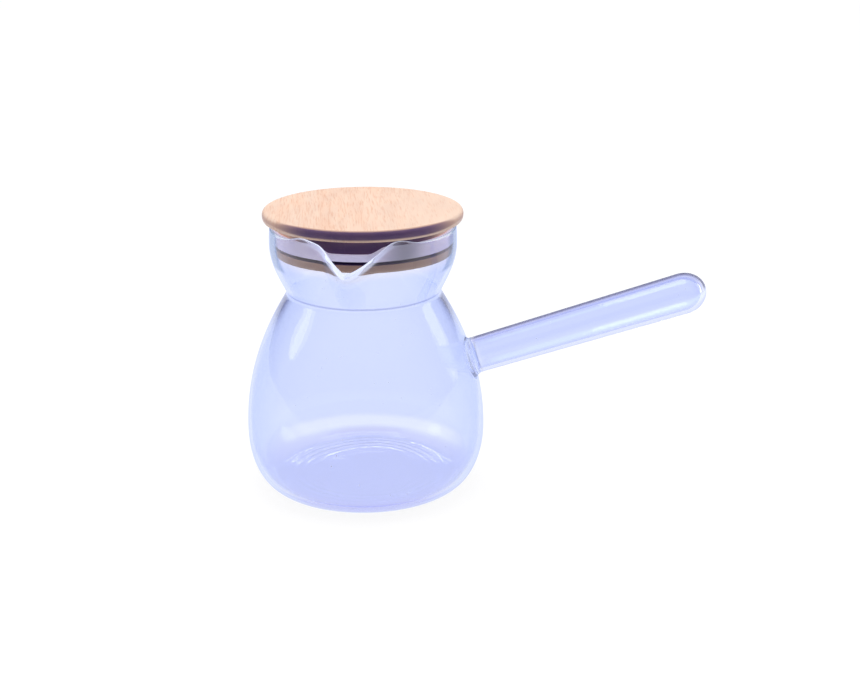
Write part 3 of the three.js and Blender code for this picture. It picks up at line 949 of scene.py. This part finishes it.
def pale_wood(finish, lid):
    """Turned hardwood: pale and warm growth bands, short pore flecks along +Y and painted shade on the edge.

    Bands, fibres and pores are fainter towards +X.
    """
    material, _, inputs, place = new_material("pale_wood")
    grain = spun(place, -lid.grain)
    plain = ramp(parts(place)[0], -5 * MM, 34 * MM, 1.0, 0.2)
    bands = mottled(grain, (170, 14, 170), 0.0, 1.0)
    patches = mottled(grain, (38, 22, 38), 0.35, 1.0)
    sway = {0: noise(stretched(grain, (30, 30, 30)), 2.0)["Color"], 1: (3 * MM, 0.0, 3 * MM), 2: grain}
    swayed = put("ShaderNodeVectorMath", sway, operation="MULTIPLY_ADD")["Vector"]
    fibres = ramp(noise(stretched(swayed, (1700, 66, 1700)), 2.0)["Fac"], 0.48, 0.68)
    cells = specks(stretched(swayed, (900, 80, 900)), voronoi_dimensions="2D")
    picked = put("ShaderNodeSeparateColor", {"Color": cells["Color"]})["Red"]
    pores = times(ramp(cells["Distance"], 0.36, 0.1), ramp(picked, 0.3, 0.9))

    _, y, height = parts(grain)
    radius = axis_distance(grain)
    across = ramp(maths("DIVIDE", maths("ABSOLUTE", y), radius), 0.45, 0.85)
    along = flip(across)
    flange = ramp(height, lid.flange_under - 0.6 * MM, lid.flange_under)
    # Painted shade: brown on the flange's side above the chamfer and on the plug's lip, less along the grain
    lifted = maths("SUBTRACT", height, times(along, 1.1 * MM))
    above = ramp(lifted, lid.flange_under + 0.9 * MM, lid.flange_under + 1.9 * MM)
    inside = maths("SUBTRACT", radius, times(along, 1.7 * MM))
    rim = ramp(inside, lid.flange_radius - 2.3 * MM, lid.flange_radius - 1.5 * MM)
    # Painted highlight: the plug lip's lowest millimetre keeps less of the brown, a paler edge as if lit
    # from below
    foot_highlight_fade = ramp(height, lid.plug_bottom + 0.6 * MM, lid.plug_bottom + 1.3 * MM, 0.3, 1.0)
    plug = times(flip(times(along, 0.9)), flip(flange), foot_highlight_fade)
    # Painted shade: the flange's side band and the stem under the flange are darkened, most across the grain
    # (near +Y and -Y)
    band = ramp(radius, lid.flange_radius - 1.5 * MM, lid.flange_radius - 0.6 * MM)
    plug_top = lid.plug_bottom + lid.plug_lip
    stem = maths("SUBTRACT", ramp(height, plug_top - 0.35 * MM, plug_top - 0.05 * MM), flange)
    painted_edge_shade = times(maths("MAXIMUM", times(band, above), stem), across)
    wood = layered(
        finish.wood_pale,
        (times(bands, patches, plain), finish.wood_warm),
        (times(fibres, plain, 0.5), finish.wood_pore),
        (times(pores, ramp(plain, 0.2, 1.0, 0.3, 0.42)), finish.wood_pore),
        (maths("MAXIMUM", times(rim, above), plug), finish.wood_side_shade),
        (times(painted_edge_shade, mottled(place, (90, 90, 400), 0.92, 1.0)), finish.wood_edge_shade),
    )
    relief = maths("SUBTRACT", times(fibres, 0.25), pores)
    feed(inputs, {
        "Base Color": wood,
        "Roughness": mottled(place, (160, 40, 160), 0.42, 0.58),
        "Normal": bumped(relief, 0.35, 0.2 * MM),
    })
    return material


def milky_silicone(finish, seal):
    """Soft milky silicone: a faint cloud, a satin skin, a painted glow, and painted shade deep in the
    groove.
    """
    material, tree, inputs, place = new_material("milky_silicone")
    pale = finish.silicone
    dim = (pale[0] * 0.9, pale[1] * 0.9, pale[2] * 0.92, 1.0)
    heel = seal.bottom + seal.heel
    skin = layered(
        pale,
        (mottled(place, (120, 120, 240), 0.0, 1.0), dim),
        (mark(tree, "clear"), finish.silicone_shade),
        # Painted shade on the seal's foot below the fin's heel
        (ramp(parts(place)[2], heel + 0.3 * MM, heel - 0.1 * MM), finish.groove),
    )
    feed(inputs, {
        "Base Color": skin,
        "Roughness": mottled(place, (300, 300, 300), 0.32, 0.48),
        "Normal": bumped(mottled(place, (1800, 1800, 1800), 0.0, 1.0), 0.12, 0.1 * MM),
        "Subsurface Weight": 0.35,
        "Subsurface Radius": (1.0, 0.95, 1.1),
        "Subsurface Scale": 2 * MM,
        # Painted glow: the skin's own colour glows, in place of light scattered through the silicone
        "Emission Color": skin,
        "Emission Strength": 0.37,
    })
    return material


# The stage

def seen_share(tree):
    """Whether light is seen, and its path.

    It is 1 for rays from the camera, a mirror or through glass, and 0 once a matt surface scattered them.
    """
    path = put("ShaderNodeLightPath", tree=tree)
    seen = maths("MAXIMUM", path["Is Camera Ray"], path["Is Glossy Ray"])
    seen = maths("MAXIMUM", seen, path["Is Transmission Ray"])
    return times(seen, maths("LESS_THAN", path["Diffuse Depth"], 0.5)), path


def stage_floor(stage):
    """A wide pale floor, which shows white to the camera and keeps the shadow."""
    half, level = 6.0, -0.2 * MM
    side = np.linspace(-half, half, 3)
    x, y = np.meshgrid(side, side, indexing="ij")
    points = np.stack([x, y, np.full_like(x, level)], axis=-1).reshape(-1, 3)
    corner = np.array([0, 1, 3, 4])
    faces = np.stack([corner, corner + 3, corner + 4, corner + 1], axis=-1)
    mesh = bpy.data.meshes.new("stage_floor")
    mesh.from_pydata(points.tolist(), [], faces.tolist())
    floor = bpy.data.objects.new("stage_floor", mesh)
    bpy.context.scene.collection.objects.link(floor)
    material, tree, inputs, place = new_material("stage_white")
    mesh.materials.append(material)
    share, path = seen_share(tree)
    depth = parts(spun(place, -stage.camera_yaw))[1]
    bounce = times(ramp(depth, -140 * MM, 20 * MM, 0.8, 1.0), stage.floor_bounce)
    sheen = layered(
        stage.horizon,
        (ramp(depth, -420 * MM, -200 * MM), WHITE),
        (ramp(depth, -70 * MM, 20 * MM), stage.mirrored),
    )
    feed(inputs, {
        "Base Color": mix(1.0, stage.floor, mottled(place, (3, 3, 3), 0.98, 1.0), "MULTIPLY"),
        "Roughness": 1.0,
        "Specular IOR Level": 0.0,
        "Emission Color": mix(path["Is Reflection Ray"], WHITE, sheen),
        "Emission Strength": ramp(share, 0.0, 1.0, bounce, stage.floor_glow),
    })
    return floor


def stage_world(stage):
    """A room that is white low down and dim above for what is seen, and dim in front for what is lit."""
    world = bpy.data.worlds.new("studio")
    bpy.context.scene.world = world
    world.use_nodes = True
    tree = world.node_tree
    tree.nodes.clear()
    way = put("ShaderNodeTexCoord", tree=tree)["Generated"]
    _, y, z = parts(spun(way, -stage.camera_yaw))
    share, path = seen_share(tree)
    mirrored = layered(
        stage.horizon,
        (ramp(z, 0.3, 0.45), stage.ceiling),
        (ramp(path["Ray Depth"], 2.0, 3.0), stage.backdrop),
    )
    seen = layered(
        stage.backdrop,
        (ramp(z, 0.5, 0.65), WHITE),
        (path["Is Reflection Ray"], mirrored),
        (path["Is Camera Ray"], WHITE),
    )
    lit = mix(ramp(y, -0.55, -0.1), stage.room_front, stage.room_back)
    light = put("ShaderNodeBackground", {"Color": mix(share, lit, seen), "Strength": 1.0})
    feed(tree.nodes.new("ShaderNodeOutputWorld").inputs, {"Surface": light["Background"]})


def stage_lamp(name, power, place, size, shape="RECTANGLE", target=LAMPS_MIDDLE):
    """A soft flat lamp at a place, turned towards the pot."""
    data = bpy.data.lights.new(name, "AREA")
    data.shape = shape
    data.size, data.size_y = size
    data.energy = power
    lamp = bpy.data.objects.new(name, data)
    bpy.context.scene.collection.objects.link(lamp)
    away = Vector(place) - Vector(target)
    lamp.location = place
    lamp.rotation_euler = away.to_track_quat("Z", "Y").to_euler()
    return lamp


def compass(azimuth, elevation):
    """Where a lamp stands around the pot, at an azimuth from +X and an elevation, in degrees."""
    a, e = math.radians(azimuth), math.radians(elevation)
    way = (math.cos(a) * math.cos(e), math.sin(a) * math.cos(e), math.sin(e))
    return tuple(c + LAMPS_DISTANCE * w for c, w in zip(LAMPS_MIDDLE, way))


# Operators

class GLASSPOT_OT_body(Operator):
    """Blow the glass body over its CAD node"""
    bl_idname = "glass_pot.body"
    bl_label = "Glass body"

    def execute(self, context):
        pot = context.scene.glass_pot
        piece = blown_body(pot.glass)
        cast, edge, deep = pot.finish.glass, pot.finish.glass_edge, pot.finish.glass_deep_glow
        piece.data.materials.append(clear_glass("body_glass", pot.finish, cast, edge, deep, BODY_LINE))
        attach(piece, "pot")
        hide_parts("glass_body")
        return {"FINISHED"}


class GLASSPOT_OT_handle(Operator):
    """Draw the hollow handle and its weld"""
    bl_idname = "glass_pot.handle"
    bl_label = "Handle"

    def execute(self, context):
        pot = context.scene.glass_pot
        piece = hollow_handle(pot.glass, pot.handle)
        cast, edge, deep = pot.finish.tube, pot.finish.tube_edge, pot.finish.tube_deep_glow
        piece.data.materials.append(clear_glass("tube_glass", pot.finish, cast, edge, deep, TUBE_LINE))
        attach(piece, "pot")
        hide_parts("handle_tube", "handle_weld")
        return {"FINISHED"}


class GLASSPOT_OT_lid(Operator):
    """Turn the wooden lid"""
    bl_idname = "glass_pot.lid"
    bl_label = "Wooden lid"

    def execute(self, context):
        pot = context.scene.glass_pot
        piece = turned_lid(pot.lid)
        piece.data.materials.append(pale_wood(pot.finish, pot.lid))
        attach(piece, "lid")
        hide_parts("lid_wood")
        return {"FINISHED"}


class GLASSPOT_OT_seal(Operator):
    """Mould the soft seal"""
    bl_idname = "glass_pot.seal"
    bl_label = "Seal"

    def execute(self, context):
        pot = context.scene.glass_pot
        piece = soft_seal(pot.seal, pot.glass)
        piece.data.materials.append(milky_silicone(pot.finish, pot.seal))
        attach(piece, "seal")
        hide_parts("lid_seal")
        return {"FINISHED"}


class GLASSPOT_OT_stage(Operator):
    """Set the floor, the room, the lamps and the camera"""
    bl_idname = "glass_pot.stage"
    bl_label = "Stage"

    def execute(self, context):
        stage = context.scene.glass_pot.stage
        stage_floor(stage)
        stage_world(stage)
        above = stage_lamp("top_lamp", stage.top_lamp, (0.0, 0.1, 1.1), (0.7, 0.7))
        above.visible_glossy = False
        stage_lamp("left_lamp", stage.left_lamp, compass(-171, 20), (0.2, 0.24), "ELLIPSE")
        stage_lamp("right_lamp", stage.right_lamp, compass(22, 15), (0.2, 0.42), "ELLIPSE")
        glints = stage_lamp("back_lamp", stage.back_lamp, compass(98.2, 13.7), (0.28, 0.008))
        glints.visible_diffuse = False
        body = bpy.data.objects.get("blown_body")
        if body:
            reached = bpy.data.collections.new("reached_by_glints")
            reached.objects.link(body)
            glints.light_linking.receiver_collection = reached
        data = bpy.data.cameras.new("camera")
        data.sensor_width = 36.0
        data.lens = stage.lens
        data.shift_x, data.shift_y = stage.camera_shift
        camera = bpy.data.objects.new("camera", data)
        context.scene.collection.objects.link(camera)
        turn = Matrix.Rotation(stage.camera_yaw, 4, "Z")
        camera.location = turn @ Vector(stage.camera)
        camera.rotation_euler = (math.pi / 2 - stage.camera_pitch, 0.0, stage.camera_yaw)
        context.scene.camera = camera
        context.scene.view_settings.view_transform = "Standard"
        context.scene.cycles.max_bounces = stage.bounces
        context.scene.cycles.transmission_bounces = stage.bounces
        context.scene.cycles.glossy_bounces = stage.bounces
        return {"FINISHED"}


class GLASSPOT_PT_sidebar(Panel):
    """Lists the pieces and their settings"""
    bl_idname = "GLASSPOT_PT_sidebar"
    bl_label = "Glass pot"
    bl_space_type = "VIEW_3D"
    bl_region_type = "UI"
    bl_category = "Glass pot"

    def draw(self, context):
        column = self.layout.column()
        pot = context.scene.glass_pot
        for operator in OPERATORS:
            column.operator(operator.bl_idname)
        for name in ("glass", "handle", "lid", "seal", "finish", "stage"):
            settings = getattr(pot, name)
            column.label(text=settings.bl_rna.description)
            for setting in settings.bl_rna.properties:
                if setting.identifier not in ("rna_type", "name"):
                    column.prop(settings, setting.identifier)


GROUPS = (GlassSizes, HandleSizes, LidSizes, SealSizes, Finishes, StageSettings, PotSettings)
OPERATORS = (GLASSPOT_OT_body, GLASSPOT_OT_handle, GLASSPOT_OT_lid, GLASSPOT_OT_seal, GLASSPOT_OT_stage)
CLASSES = (*GROUPS, *OPERATORS, GLASSPOT_PT_sidebar)


def register():
    for one in CLASSES:
        bpy.utils.register_class(one)
    bpy.types.Scene.glass_pot = PointerProperty(type=PotSettings)


def unregister():
    del bpy.types.Scene.glass_pot
    for one in reversed(CLASSES):
        bpy.utils.unregister_class(one)


def main():
    """Registers the add-on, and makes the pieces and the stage."""
    register()
    bpy.ops.glass_pot.body()
    bpy.ops.glass_pot.handle()
    bpy.ops.glass_pot.lid()
    bpy.ops.glass_pot.seal()
    bpy.ops.glass_pot.stage()


if __name__ == "__main__":
    main()
